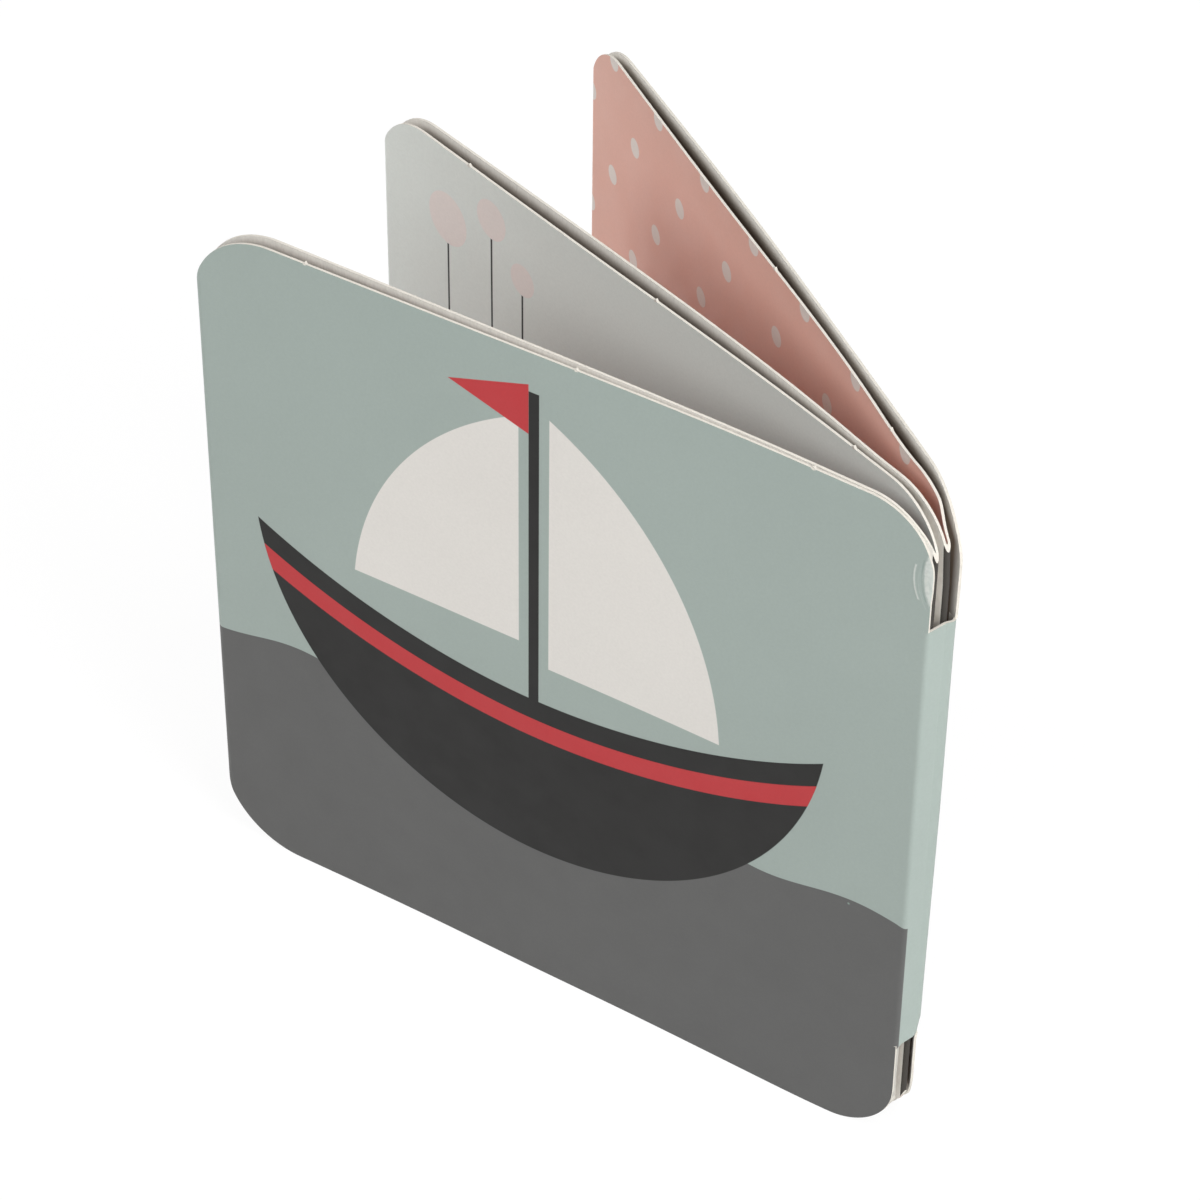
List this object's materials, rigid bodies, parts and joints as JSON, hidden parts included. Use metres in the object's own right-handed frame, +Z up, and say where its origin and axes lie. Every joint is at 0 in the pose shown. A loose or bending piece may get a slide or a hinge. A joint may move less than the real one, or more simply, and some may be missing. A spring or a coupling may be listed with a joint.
{
  "type": "board book",
  "caption": "Small square board book standing on its lower edges with its leaves fanned open; each leaf is a stiff folded card with rounded corners, hinged at a narrow notched spine panel.",
  "frame": {"origin": "middle of the footprint of the fanned book, on the surface it stands on", "axes": "+Z up; +X from the fore edges to the spine; +Y from the front cover to the back cover, square to the middle leaf"},
  "size_m": [0.154, 0.0962, 0.15],
  "materials": {
    "cover_card": "matte laminated print, pale sage",
    "page_card": "matte laminated print, pale grey green"
  },
  "bodies": {
    "pages": {"pages": "page_card", "spine": "cover_card"},
    "front_cover": {"front_cover": "cover_card"},
    "back_cover": {"back_cover": "cover_card"}
  },
  "joints": [
    {"name": "front_crease", "type": "hinge", "parent": "pages", "child": "front_cover", "pos_m": [0.077, -0.00192, 0.075], "axis": [0, 0, 1], "range_deg": [-16.5, 162.35]},
    {"name": "back_crease", "type": "hinge", "parent": "pages", "child": "back_cover", "pos_m": [0.077, 0.00428, 0.075], "axis": [0, 0, 1], "range_deg": [-163.5, 14.2]}
  ]
}
